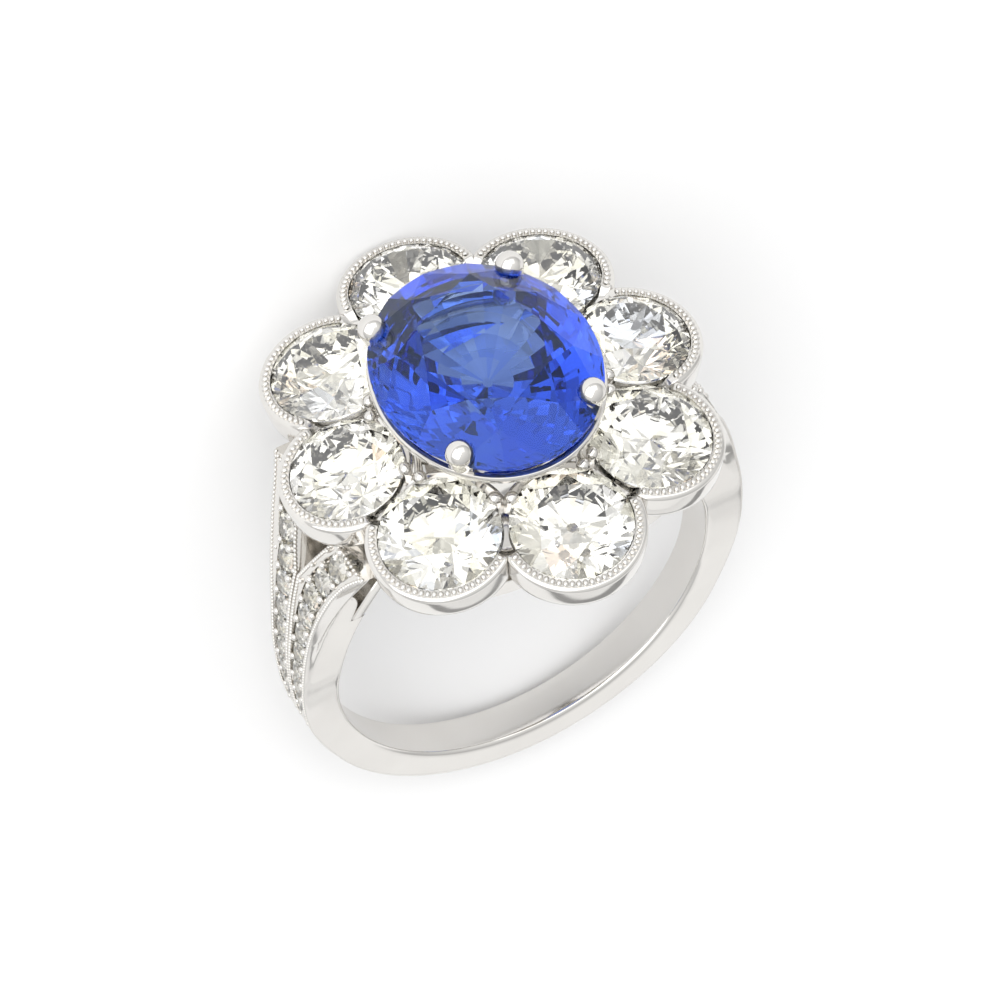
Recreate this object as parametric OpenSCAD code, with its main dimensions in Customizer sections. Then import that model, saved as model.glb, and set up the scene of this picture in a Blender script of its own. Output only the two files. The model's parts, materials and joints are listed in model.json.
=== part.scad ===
// Sapphire and diamond cluster ring, millimetres.
// It is drawn about the centre of the finger opening (X across the shoulders,
// Y along the finger, Z up to the stones) and then laid down at rest on its side.

/* [Shank] */
// Radius of the finger opening
finger_radius = 8.5; // [7.5:0.05:10.5]
// Radial thickness of the shank at the back of the finger
shank_thickness = 1.43; // [1.2:0.01:2.2]
// Width of the shank along the finger
shank_width = 1.85; // [1.6:0.05:3.0]
// Radial thickness of the inner rail that closes the circle under the head
rail_thickness = 0.55; // [0.45:0.05:0.9]

/* [Shoulders] */
// Height above the finger centre where the two arms part
split_height = 7.3; // [6.0:0.1:8.5]
// Diameter of the largest shoulder diamond
shoulder_stone = 1.26; // [1.0:0.02:1.5]
// Diameter of the smallest shoulder diamond
shoulder_stone_small = 0.84; // [0.6:0.02:1.0]
// Number of diamonds in each arm
arm_stones = 10; // [8:1:11]

/* [Halo] */
// Height of the diamonds' rims above the finger centre
halo_height = 12.55; // [12.0:0.05:13.5]
// Half length of the oval that carries the petals, across the shoulders
halo_x = 6.47; // [6.2:0.01:7.2]
// Half length of the oval that carries the petals, along the finger
halo_y = 6.99; // [6.8:0.01:7.6]
// Place of the four diagonal petals on that oval, in degrees
diagonal_angle = 42.7; // [41:0.1:45]
// Outward lean of each petal in degrees
petal_lean = 10.4; // [6:0.2:14]
// Diameter of the six larger diamonds
diamond_size = 5.0; // [4.4:0.02:5.04]
// Diameter of the two diamonds over the shoulders
shoulder_diamond_size = 4.7; // [4.2:0.02:4.8]
// Width of the millegrain rim around each diamond
rim_width = 0.52; // [0.3:0.02:0.6]
// Height of the plain wall below the rim
rim_wall = 1.35; // [0.8:0.05:1.5]

/* [Centre] */
// Width of the sapphire across the shoulders
sapphire_width = 9.08; // [8.6:0.02:9.2]
// Length of the sapphire along the finger
sapphire_length = 10.84; // [10.2:0.02:11.0]
// Height of the sapphire's girdle above the finger centre
sapphire_height = 14.89; // [14.6:0.01:15.4]
// Height of the sapphire's crown
sapphire_crown = 1.35; // [1.0:0.05:1.8]
// Depth of the sapphire below its girdle
sapphire_depth = 3.7; // [3.2:0.05:3.9]
// Radius of the rounded claw tips
claw_radius = 0.58; // [0.45:0.01:0.65]
// Radius of the claw shafts
claw_shaft = 0.48; // [0.35:0.01:0.5]

/* [Hidden] */
$fn = 96;
gap = 0.03;
shank_radius = finger_radius + shank_thickness;
rail_radius = finger_radius + rail_thickness;
edge_round = 0.3;

// One petal as compass angle on the oval and diamond radius, going round from the right shoulder.
petal_angles = [0, diagonal_angle, 90, 180 - diagonal_angle,
  180, 180 + diagonal_angle, 270, 360 - diagonal_angle];
function stone_radius(i) = (i % 4 == 0 ? shoulder_diamond_size : diamond_size) / 2;
function petal_centre(i) = [halo_x * cos(petal_angles[i]), halo_y * sin(petal_angles[i]), halo_height];
function petal_facing(i) = atan2(sin(petal_angles[i]) / halo_y, cos(petal_angles[i]) / halo_x);

// The laid ring touches the ground with the wall of the back petal and the rounded edge at the
// bottom of the shank. Both points are given along the finger and up to the stones.
back_wall = stone_radius(2) + gap + rim_width - 0.05;
rest_point = [halo_y - rim_wall * sin(petal_lean) + back_wall * cos(petal_lean),
  halo_height - rim_wall * cos(petal_lean) - back_wall * sin(petal_lean)];
edge_centre = [shank_width / 2 - edge_round, edge_round - shank_radius];
rest_span = rest_point - edge_centre;
rest_lean = acos(edge_round / norm(rest_span)) - atan2(rest_span[1], rest_span[0]);
rest_lift = rest_point[0] * cos(rest_lean) - rest_point[1] * sin(rest_lean);
// Keeps the laid ring's box centred between the sapphire's table and the bottom of the shank.
sapphire_table = 0.56;
sapphire_girdle = 0.16;
head_reach = sin(rest_lean) * sapphire_table * sapphire_length / 2
  + cos(rest_lean) * (sapphire_height + sapphire_girdle / 2 + sapphire_crown);
shank_reach = edge_round + sin(rest_lean) * edge_centre[0] - cos(rest_lean) * edge_centre[1];
rest_slide = (head_reach - shank_reach) / 2;

// Shoulder outline: height, half width across the shoulders, half width along the finger.
arm_table = [[-4.6, 8.82, 0.93], [-3.4, 9.4, 0.94], [-2.2, 9.8, 0.98], [-0.9, 10.04, 1.05], [0.65, 10.14, 1.2],
  [2, 10.1, 1.38], [4.1, 9.85, 1.6], [6, 9.52, 1.95], [7.4, 9.17, 2.33], [8.75, 8.74, 2.8],
  [9.65, 8.34, 3.25], [10.3, 7.98, 3.75], [10.45, 7.88, 3.9]];
// Inner wall of the arms above the slit: height, half width across the shoulders.
arm_inside = [[4.8, 7.69], [6.2, 7.6], [7.3, 7.45], [8.3, 7.3], [9.3, 7.12], [10.6, 6.9]];
slit_height = 4.8;
arm_top = arm_table[len(arm_table) - 1][0];
function arm_x(z) = lookup(z, [for (r = arm_table) [r[0], r[1]]]) + finger_radius - 8.5;
function arm_y(z) = lookup(z, [for (r = arm_table) [r[0], r[2]]]);
// Inner edge of an arm along the finger, zero below the split.
function arm_inner(z) = z <= split_height ? 0 : 0.46 * (z - split_height);
function arm_middle(z) = (arm_y(z) + arm_inner(z)) / 2;
// Outward unit direction of the shoulder surface in the plane across the shoulders.
function arm_normal(z) = let (d = [arm_x(z + 0.3) - arm_x(z - 0.3), 0.6]) [d[1], -d[0]] / norm(d);
function arm_pitch(z) = atan2(arm_normal(z)[1], arm_normal(z)[0]);

// Heights of the shoulder diamonds, larger stones toward the head.
first_stone = -0.95;
stone_sizes = [for (k = [0 : arm_stones - 1])
  shoulder_stone_small + (shoulder_stone - shoulder_stone_small) * min(1, k / (arm_stones - 3))];
function stone_height(k) = k == 0 ? first_stone
  : stone_height(k - 1) + ((stone_sizes[k] + stone_sizes[k - 1]) / 2 + 0.12) * arm_step(stone_height(k - 1));
// Share of a step along the arm that goes upward.
function arm_step(z) = let (d = [arm_x(z + 0.5) - arm_x(z), arm_middle(z + 0.5) - arm_middle(z), 0.5]) d[2] / norm(d);

// Points of a brilliant cut: table, crown stars, girdle with scallops, lower girdle and culet.
function polar(r, a, z, k) = [r * cos(a) * k[0], r * sin(a) * k[1], z];
function ring_of(n, turn, r, z, k) = [for (i = [0 : n - 1]) polar(r, 360 * i / n + turn, z, k)];
// Height of a flat facet through three points at compass angle a on the unit girdle.
function facet_z(p, q, s, x, y) = let (n = cross(q - p, s - p)) p[2] - (n[0] * (x - p[0]) + n[1] * (y - p[1])) / n[2];
function brilliant_data(radius, k, table, crown, girdle, depth, fine) =
  let (
    t = table * radius,
    rs = (t * cos(22.5) + radius) / 2,
    zs = crown * (radius - rs * cos(22.5)) / (radius - t),
    rl = 0.24 * radius,
    zl = -depth * (1 - rl * cos(22.5) / radius),
    one = [1, 1],
    n = 16 * fine,
    tops = [for (j = [0 : n - 1]) let (
      s = floor(j / fine),
      mid = 45 * floor(s / 2) + 22.5,
      a0 = 22.5 * s, a1 = 22.5 * (s + 1), a = 22.5 * j / fine)
      facet_z(polar(rs, mid, zs, one), polar(radius, a0, 0, one), polar(radius, a1, 0, one),
        radius * cos(a), radius * sin(a)) + girdle / 2],
    lows = [for (j = [0 : n - 1]) let (
      s = floor(j / fine),
      mid = 45 * floor(s / 2) + 22.5,
      a0 = 22.5 * s, a1 = 22.5 * (s + 1), a = 22.5 * j / fine)
      facet_z(polar(rl, mid, zl, one), polar(radius, a0, 0, one), polar(radius, a1, 0, one),
        radius * cos(a), radius * sin(a)) - girdle / 2],
    points = concat(
      ring_of(8, 0, t, crown + girdle / 2, k),
      ring_of(8, 22.5, rs, zs + girdle / 2, k),
      [for (j = [0 : n - 1]) polar(radius, 360 * j / n, tops[j], k)],
      [for (j = [0 : n - 1]) polar(radius, 360 * j / n, lows[j], k)],
      ring_of(8, 22.5, rl, zl - girdle / 2, k),
      [[0, 0, -depth - girdle / 2]]),
    u = 16, v = 16 + n, w = 16 + 2 * n, c = 24 + 2 * n,
    faces = concat(
      [[for (i = [7 : -1 : 0]) i]],
      [for (i = [0 : 7]) [i, (i + 1) % 8, 8 + i]],
      [for (i = [0 : 7]) [i, 8 + i, u + 2 * fine * i, 8 + (i + 7) % 8]],
      [for (i = [0 : 7]) for (h = [0, 1]) concat([8 + i],
        [for (j = [fine : -1 : 0]) u + (fine * (2 * i + h) + j) % n])],
      [for (j = [0 : n - 1]) [u + j, u + (j + 1) % n, v + (j + 1) % n, v + j]],
      [for (i = [0 : 7]) for (h = [0, 1]) concat([w + i],
        [for (j = [0 : fine]) v + (fine * (2 * i + h) + j) % n])],
      [for (i = [0 : 7]) [c, w + (i + 7) % 8, v + 2 * fine * i, w + i]]))
  [points, faces];

// Points of the sapphire: brilliant crown over a stepped, bellied pavilion.
pavilion_steps = [[0, 1], [0.1, 0.945], [0.25, 0.86], [0.42, 0.75], [0.6, 0.595], [0.77, 0.42],
  [0.91, 0.225], [1, 0.045]];
function sapphire_data(radius, k, table, crown, girdle, depth, fine) =
  let (
    base = brilliant_data(radius, k, table, crown, girdle, depth, fine),
    n = 16 * fine,
    sides = 24,
    part = n / sides,
    steps = pavilion_steps,
    rings = len(steps),
    upper = [for (i = [0 : 15 + n]) base[0][i]],
    lower = [for (s = [1 : rings - 1]) for (i = [0 : sides - 1])
      polar(radius * steps[s][1], 360 * i / sides, -girdle / 2 - depth * steps[s][0], k)],
    belt = [for (j = [0 : n - 1]) let (a = 360 / sides * floor(j / part), b = a + 360 / sides)
      polar(radius, 360 * j / n, facet_z(
        polar(radius, a, -girdle / 2, [1, 1]), polar(radius, b, -girdle / 2, [1, 1]),
        polar(radius * steps[1][1], a, -girdle / 2 - depth * steps[1][0], [1, 1]),
        radius * cos(360 * j / n), radius * sin(360 * j / n)), k)],
    u = 16, v = 16 + n, w = 16 + 2 * n,
    faces = concat(
      [[for (i = [7 : -1 : 0]) i]],
      [for (i = [0 : 7]) [i, (i + 1) % 8, 8 + i]],
      [for (i = [0 : 7]) [i, 8 + i, u + 2 * fine * i, 8 + (i + 7) % 8]],
      [for (i = [0 : 7]) for (h = [0, 1]) concat([8 + i],
        [for (j = [fine : -1 : 0]) u + (fine * (2 * i + h) + j) % n])],
      [for (j = [0 : n - 1]) [u + j, u + (j + 1) % n, v + (j + 1) % n, v + j]],
      [for (s = [0 : sides - 1]) concat([w + (s + 1) % sides, w + s],
        [for (j = [0 : part]) v + (part * s + j) % n])],
      [for (r = [0 : rings - 3]) for (i = [0 : sides - 1])
        [w + r * sides + i, w + r * sides + (i + 1) % sides,
          w + (r + 1) * sides + (i + 1) % sides, w + (r + 1) * sides + i]],
      [[for (i = [0 : sides - 1]) w + (rings - 2) * sides + i]]))
  [concat(upper, belt, lower), faces];

module cut_stone(data) {
  polyhedron(points = data[0], faces = data[1], convexity = 2);
}

// Puts the upright ring down on its side, head facing the front.
module laid() {
  translate([0, rest_slide, rest_lift]) rotate([0, 0, 180]) rotate([rest_lean - 90, 0, 0]) children();
}

// Straight oval rod with flat ends, half lengths a and b.
module oval(a, b, h) {
  linear_extrude(height = h)
    polygon([for (i = [0 : 71]) [a * cos(5 * i), b * sin(5 * i)]]);
}

// Rounded cushion outline, half lengths a and b, straighter along its sides than an oval.
module cushion(a, b, h) {
  linear_extrude(height = h)
    polygon([for (i = [0 : 71]) let (c = cos(5 * i), s = sin(5 * i))
      [a * sign(c) * pow(abs(c), 0.64), b * sign(s) * pow(abs(s), 0.64)]]);
}

// Moves a petal's parts from its own axis to its place on the halo.
module at_petal(i) {
  translate(petal_centre(i)) rotate([0, 0, petal_facing(i)]) rotate([0, petal_lean, 0]) children();
}

module bezel(i) {
  r = stone_radius(i) + gap + rim_width;
  at_petal(i) {
    translate([0, 0, -rim_wall]) cylinder(r1 = r - 0.05, r2 = r, h = rim_wall);
    translate([0, 0, -2.45]) cylinder(r1 = 1.85, r2 = r - 0.1, h = 2.45 - rim_wall + 0.05);
  }
}

module pocket(i) {
  r = stone_radius(i);
  at_petal(i) {
    translate([0, 0, -0.45]) cylinder(r = r + gap, h = 1.3);
    translate([0, 0, -2.7]) cylinder(r1 = 0.62 * r, r2 = r - 0.2, h = 2.26);
  }
}

module main_diamond(i) {
  r = stone_radius(i);
  at_petal(i) translate([0, 0, -0.12])
    cut_stone(brilliant_data(r, [1, 1], 0.57, 0.31 * r, 0.055 * r, 0.85 * r, 2));
}

// The sapphire's four claws stand at the quarter points of its oval.
claw_directions = [[1, 1], [-1, 1], [-1, -1], [1, -1]];
claw_x = 0.665 * sapphire_width / 2;
claw_y = 0.655 * sapphire_length / 2;
claw_facing = 40;

module claw(d) {
  foot = [d[0] * (claw_x - 0.9 * cos(claw_facing)), d[1] * (claw_y - 0.9 * sin(claw_facing)), sapphire_height - 2.5];
  tip = [d[0] * (claw_x + 0.12), d[1] * (claw_y + 0.12), sapphire_height + 0.5];
  rise = tip - foot;
  translate(foot) rotate([0, acos(rise[2] / norm(rise)), atan2(rise[1], rise[0])])
    cylinder(r = claw_shaft, h = norm(rise), $fn = 32);
  translate(tip) sphere(r = claw_radius, $fn = 40);
}

// Notch that a claw leaves for the sapphire's edge.
module claw_notch(d) {
  a = atan2(d[1] * sin(claw_facing), d[0] * cos(claw_facing));
  translate([d[0] * 0.7071 * sapphire_width / 2, d[1] * 0.7071 * sapphire_length / 2, sapphire_height])
    rotate([0, 0, a]) rotate([90, 0, 0])
      linear_extrude(height = 3, center = true)
        polygon([[0.03, 0.14], [0.03, -0.2], [-0.33, -0.74], [-1.06, -1.66], [-2.4, -2.7], [-2.4, 1.5],
          [-1.86, 1.5]]);
}

// Flat shape of the side of the shoulders, from the finger opening to the outer edge.
module shoulder_side() {
  heights = [for (i = [0 : 48]) -4.6 + i * (arm_top + 4.6) / 48];
  polygon(concat(
    [for (z = heights) [arm_x(z), z]],
    [for (i = [48 : -1 : 0]) let (z = heights[i])
      [z > slit_height ? min(lookup(z, arm_inside), arm_x(z) - 0.8) : sqrt(pow(finger_radius - 0.3, 2) - z * z), z]]));
}

// Flat shape of both arms seen from the side of the hand, parted above the split.
module arms_front() {
  heights = [for (i = [0 : 48]) -4.8 + i * (arm_top + 4.8) / 48];
  difference() {
    polygon(concat(
      [for (z = heights) [-arm_y(z), z]],
      [for (i = [48 : -1 : 0]) [arm_y(heights[i]), heights[i]]]));
    polygon(concat(
      [for (i = [0 : 20]) let (z = split_height + i * (arm_top + 0.2 - split_height) / 20) [arm_inner(z), z]],
      [for (i = [20 : -1 : 1]) let (z = split_height + i * (arm_top + 0.2 - split_height) / 20) [-arm_inner(z), z]]));
  }
}

// Round body that gives the shank sides their outward slope.
module side_slope() {
  rotate([90, 0, 0]) rotate_extrude($fn = 144)
    polygon([[finger_radius - 0.5, -shank_width / 2], [finger_radius, -shank_width / 2],
      [finger_radius + 1.7, -1.5], [finger_radius + 5, -5.2], [finger_radius + 5, 5.2],
      [finger_radius + 1.7, 1.5], [finger_radius, shank_width / 2], [finger_radius - 0.5, shank_width / 2]]);
}

module shoulders() {
  intersection() {
    union() {
      rotate([90, 0, 0]) linear_extrude(height = 10, center = true) shoulder_side();
      mirror([1, 0, 0]) rotate([90, 0, 0]) linear_extrude(height = 10, center = true) shoulder_side();
    }
    rotate([90, 0, 90]) linear_extrude(height = 24, center = true) arms_front();
    side_slope();
  }
}

module shank() {
  e = edge_round;
  rotate([90, 0, 0]) difference() {
    rotate_extrude($fn = 144) polygon(concat(
      [[finger_radius - 0.3, -shank_width / 2]],
      [for (a = [-90 : 22.5 : 0]) [shank_radius - e + e * cos(a), -shank_width / 2 + e + e * sin(a)]],
      [for (a = [0 : 22.5 : 90]) [shank_radius - e + e * cos(a), shank_width / 2 - e + e * sin(a)]],
      [[finger_radius - 0.3, shank_width / 2]]));
    translate([-20, 1, -5]) cube([40, 20, 10]);
  }
  rotate([90, 0, 0]) cylinder(r = rail_radius, h = shank_width, center = true, $fn = 144);
}

// Places something on the shoulder surface at stone k of the arm on side sx, sy.
module at_arm_stone(sx, sy, k) {
  z = stone_height(k);
  translate([sx * arm_x(z), sy * arm_middle(z), z]) rotate([0, sx * (90 - arm_pitch(z)), 0]) children();
}

module arm_seats() {
  for (sx = [-1, 1]) for (sy = [-1, 1]) for (k = [0 : arm_stones - 1])
    at_arm_stone(sx, sy, k) translate([0, 0, -0.62])
      cylinder(r = stone_sizes[k] / 2 + gap, h = 1.2, $fn = 24);
}

module arm_diamonds(sx) {
  for (sy = [-1, 1]) for (k = [0 : arm_stones - 1]) {
    r = stone_sizes[k] / 2;
    at_arm_stone(sx, sy, k) translate([0, 0, -0.14])
      cut_stone(brilliant_data(r, [1, 1], 0.56, 0.3 * r, 0.08 * r, 0.68 * r, 1));
  }
}

// Round collet that widens from the inner rail to the sapphire, open through its middle.
funnel_foot = finger_radius + 0.35;
funnel_radius = 2.75;
funnel_wall = 0.45;

module funnel() {
  difference() {
    union() {
      translate([0, 0, funnel_foot - 1]) cylinder(r = funnel_radius, h = 1.001);
      translate([0, 0, funnel_foot]) cylinder(r1 = funnel_radius, r2 = 3.93, h = 3.85);
    }
    rotate([90, 0, 0]) cylinder(r = finger_radius + 0.3, h = 10, center = true);
  }
}

module funnel_hole() {
  translate([0, 0, funnel_foot - 1.5]) cylinder(r = funnel_radius - funnel_wall, h = 1.501);
  translate([0, 0, funnel_foot]) cylinder(r1 = funnel_radius - funnel_wall, r2 = 3.62, h = 4.2);
}

// Oval rail under the sapphire's edge and cushion-shaped ring under the petals.
module gallery() {
  translate([0, 0, sapphire_height - 0.78]) difference() {
    oval(sapphire_width / 2 + 0.08, sapphire_length / 2 + 0.08, 0.36);
    translate([0, 0, -1]) oval(sapphire_width / 2 - 0.19, sapphire_length / 2 - 0.23, 3);
  }
  translate([0, 0, halo_height - 2.85]) difference() {
    cushion(halo_x + 0.95, halo_y, 0.75);
    translate([0, 0, -1]) cushion(halo_x + 0.4, halo_y - 0.55, 3);
  }
}

module mount_body() {
  shank();
  shoulders();
  funnel();
  gallery();
  for (i = [0 : 7]) bezel(i);
}

module ring_mount() color([0.86, 0.85, 0.83]) laid() {
  difference() {
    union() {
      difference() {
        mount_body();
        funnel_hole();
        for (i = [0 : 7]) pocket(i);
        arm_seats();
      }
      for (d = claw_directions) difference() {
        claw(d);
        claw_notch(d);
        for (i = [1 : 2 : 7]) pocket(i);
      }
    }
    rotate([90, 0, 0]) cylinder(r = finger_radius, h = 30, center = true, $fn = 144);
  }
}

module sapphire() color([0.12, 0.22, 0.75]) laid()
  translate([0, 0, sapphire_height]) cut_stone(sapphire_data(sapphire_length / 2,
    [sapphire_width / sapphire_length, 1], sapphire_table, sapphire_crown, sapphire_girdle, sapphire_depth, 6));

module shoulder_diamonds_left() color([0.93, 0.94, 0.95]) laid() arm_diamonds(-1);

module shoulder_diamonds_right() color([0.93, 0.94, 0.95]) laid() arm_diamonds(1);

module diamond_1() color([0.94, 0.95, 0.96]) laid() main_diamond(0);

module diamond_2() color([0.94, 0.95, 0.96]) laid() main_diamond(1);

module diamond_3() color([0.94, 0.95, 0.96]) laid() main_diamond(2);

module diamond_4() color([0.94, 0.95, 0.96]) laid() main_diamond(3);

module diamond_5() color([0.94, 0.95, 0.96]) laid() main_diamond(4);

module diamond_6() color([0.94, 0.95, 0.96]) laid() main_diamond(5);

module diamond_7() color([0.94, 0.95, 0.96]) laid() main_diamond(6);

module diamond_8() color([0.94, 0.95, 0.96]) laid() main_diamond(7);

ring_mount();
sapphire();
diamond_1();
diamond_2();
diamond_3();
diamond_4();
diamond_5();
diamond_6();
diamond_7();
diamond_8();
shoulder_diamonds_left();
shoulder_diamonds_right();
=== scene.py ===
"""Looks of a sapphire and diamond cluster ring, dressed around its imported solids.

The ring is worked out upright and in millimetres: X runs across the shoulders, Y along the finger and
Z up to the stones, with zero at the middle of the finger opening. RestPose then lays every point down
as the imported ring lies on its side, in metres.
"""

import json
import logging
import math
from dataclasses import dataclass
from enum import Enum

import bpy
import numpy as np
from mathutils import Matrix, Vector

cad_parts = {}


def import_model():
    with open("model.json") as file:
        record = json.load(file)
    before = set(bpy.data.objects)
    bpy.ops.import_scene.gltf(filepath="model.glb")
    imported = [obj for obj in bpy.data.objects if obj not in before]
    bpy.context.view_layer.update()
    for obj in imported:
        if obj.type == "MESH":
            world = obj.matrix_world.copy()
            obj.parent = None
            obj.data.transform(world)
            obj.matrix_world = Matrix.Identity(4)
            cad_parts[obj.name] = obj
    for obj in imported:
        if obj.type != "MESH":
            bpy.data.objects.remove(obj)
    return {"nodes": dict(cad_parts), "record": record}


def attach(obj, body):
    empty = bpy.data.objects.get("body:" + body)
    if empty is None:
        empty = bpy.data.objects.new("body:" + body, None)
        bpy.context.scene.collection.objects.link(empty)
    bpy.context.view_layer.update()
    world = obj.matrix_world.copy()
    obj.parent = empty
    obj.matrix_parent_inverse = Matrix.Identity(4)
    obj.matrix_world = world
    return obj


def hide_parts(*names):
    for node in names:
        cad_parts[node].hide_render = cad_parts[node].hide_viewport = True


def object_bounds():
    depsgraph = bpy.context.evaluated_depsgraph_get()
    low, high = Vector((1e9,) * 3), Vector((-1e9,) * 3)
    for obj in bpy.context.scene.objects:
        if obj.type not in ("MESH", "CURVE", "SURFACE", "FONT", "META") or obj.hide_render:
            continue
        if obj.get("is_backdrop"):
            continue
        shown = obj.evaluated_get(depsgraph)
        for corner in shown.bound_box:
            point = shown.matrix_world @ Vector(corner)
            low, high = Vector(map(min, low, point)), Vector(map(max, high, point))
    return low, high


LOG = logging.getLogger("ring")
MM = 0.001
BODY = "root"
MOUNT_NODE = "ring_mount"
# Facets whose directions differ by less than this step share one painted tone, painted light on the stones.
FACET_STEP = 0.02
# Moves directions that lie along an axis off the edge of a step.
FACET_SHIFT = (0.0073, 0.0049, 0.0061)


class Slot(Enum):
    """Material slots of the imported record."""

    PLATINUM = "platinum"
    SAPPHIRE = "sapphire"
    DIAMOND = "diamond"


def linear(code: str) -> tuple[float, float, float, float]:
    """Turn an sRGB hex code to a linear colour.

    Args:
        code: Six hex digits.

    Returns:
        Red, green, blue and full alpha.
    """
    values = [int(code[i:i + 2], 16) / 255 for i in (0, 2, 4)]
    red, green, blue = (v / 12.92 if v <= 0.04045 else ((v + 0.055) / 1.055) ** 2.4 for v in values)
    return red, green, blue, 1.0


def smoothstep(low: float, high: float, value: np.ndarray) -> np.ndarray:
    """Rise from 0 at low to 1 at high on a smooth cubic."""
    share = np.clip((np.asarray(value, float) - low) / (high - low), 0, 1)
    return share * share * (3 - 2 * share)


def curve_through(places: np.ndarray, values: np.ndarray, wanted: np.ndarray) -> np.ndarray:
    """Read a smooth curve through a short table, a Hermite cubic between each two rows.

    Args:
        places: Rising positions of the table's rows.
        values: The value at each row.
        wanted: Positions to read.

    Returns:
        One value for each wanted position.
    """
    slopes = np.gradient(values, places)
    wanted = np.clip(wanted, places[0], places[-1])
    row = np.clip(np.searchsorted(places, wanted) - 1, 0, len(places) - 2)
    step = places[row + 1] - places[row]
    t = (wanted - places[row]) / step
    return ((2 * t**3 - 3 * t**2 + 1) * values[row] + (t**3 - 2 * t**2 + t) * step * slopes[row]
            + (3 * t**2 - 2 * t**3) * values[row + 1] + (t**3 - t**2) * step * slopes[row + 1])


def turn_about(axis: str, angle: float) -> np.ndarray:
    """Rotation matrix about X, Y or Z by an angle in radians."""
    return np.array(Matrix.Rotation(angle, 3, axis))


@dataclass(frozen=True)
class RestPose:
    """How the upright ring is laid down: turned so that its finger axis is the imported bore's."""

    lean: float
    place: tuple[float, float, float]

    @staticmethod
    def from_record(record: dict) -> "RestPose":
        """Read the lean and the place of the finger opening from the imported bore."""
        bore = next(m for m in record["mounts"] if m["name"] == "finger_hole")
        return RestPose(math.atan2(bore["axis"][1], bore["axis"][2]), tuple(bore["pos_m"]))

    @property
    def turn(self) -> np.ndarray:
        """Matrix from upright to laid directions."""
        return turn_about("Z", math.pi) @ turn_about("X", self.lean - math.pi / 2)

    def lay(self, points: np.ndarray) -> np.ndarray:
        """Lay upright points in millimetres down, in metres."""
        return points @ self.turn.T * MM + np.array(self.place)

    def upright(self, points: np.ndarray) -> np.ndarray:
        """Stand laid points in metres up again, in millimetres."""
        return (points - np.array(self.place)) @ self.turn / MM


def grid_quads(rows: int, columns: int, ring_rows: bool, ring_columns: bool) -> np.ndarray:
    """Number the quads of a grid of points.

    Args:
        rows: Rows of points.
        columns: Points in each row.
        ring_rows: Join the last row to the first.
        ring_columns: Join each row's last point to its first.

    Returns:
        Four corner numbers for each quad.
    """
    row = np.arange(rows if ring_rows else rows - 1)
    column = np.arange(columns if ring_columns else columns - 1)
    a, b = np.meshgrid(row, column, indexing="ij")
    below, beside = (a + 1) % rows, (b + 1) % columns
    corners = [a * columns + b, a * columns + beside, below * columns + beside, below * columns + b]
    return np.stack(corners, axis=-1).reshape(-1, 4)


def fan(start: int, columns: int, tip: int, first_end: bool) -> np.ndarray:
    """Close one end of a swept grid with triangles that meet at a tip.

    Args:
        start: Number of the end outline's first point.
        columns: Points in the outline.
        tip: Number of the tip.
        first_end: True for the grid's first outline, whose triangles run the other way round.

    Returns:
        Four corner numbers for each triangle, with the tip twice.
    """
    near = start + np.arange(columns)
    beside = start + (np.arange(columns) + 1) % columns
    edge = [beside, near] if first_end else [near, beside]
    return np.stack([*edge, np.full(columns, tip), np.full(columns, tip)], axis=1)


class Skin:
    """Closed surfaces gathered for one piece, upright and in millimetres."""

    def __init__(self) -> None:
        """Start with no surface."""
        self.points: list[np.ndarray] = []
        self.faces: list[np.ndarray] = []
        self.count = 0

    def add(self, points: np.ndarray, quads: np.ndarray) -> None:
        """Add one closed surface and turn its faces outwards.

        Args:
            points: Corner places.
            quads: Corner numbers of each face; a triangle repeats its last corner.
        """
        a, b, c, d = (points[quads[:, i]] for i in range(4))
        volume = (np.einsum("ij,ij->i", a, np.cross(b, c)) + np.einsum("ij,ij->i", a, np.cross(c, d))).sum()
        if volume < 0:
            quads = quads[:, [0, 3, 2, 1]]
        self.points.append(points)
        self.faces.append(quads + self.count)
        self.count += len(points)

    def sweep(self, grid: np.ndarray, ring_rows: bool = True) -> None:
        """Add a surface given as rows of closed outlines.

        Args:
            grid: Places by row, point in the outline and coordinate.
            ring_rows: Join the last outline to the first; otherwise both ends are capped by fans.
        """
        rows, columns, _ = grid.shape
        points = grid.reshape(-1, 3)
        quads = grid_quads(rows, columns, ring_rows, True)
        if not ring_rows:
            tips = np.stack([grid[0].mean(0), grid[-1].mean(0)])
            start = fan(0, columns, len(points), True)
            end = fan((rows - 1) * columns, columns, len(points) + 1, False)
            points = np.vstack([points, tips])
            quads = np.vstack([quads, start, end])
        self.add(points, quads)

    def repeat(self, shape: np.ndarray, quads: np.ndarray, frames: np.ndarray, places: np.ndarray) -> None:
        """Add many copies of a small closed shape at once.

        Args:
            shape: The shape's own points.
            quads: Its faces.
            frames: For each copy a matrix whose columns are its own axes, sized.
            places: For each copy its place.
        """
        points = np.einsum("nij,pj->npi", frames, shape) + places[:, None, :]
        shift = np.arange(len(places))[:, None, None] * len(shape)
        self.add(points.reshape(-1, 3), (quads[None] + shift).reshape(-1, 4))


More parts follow.
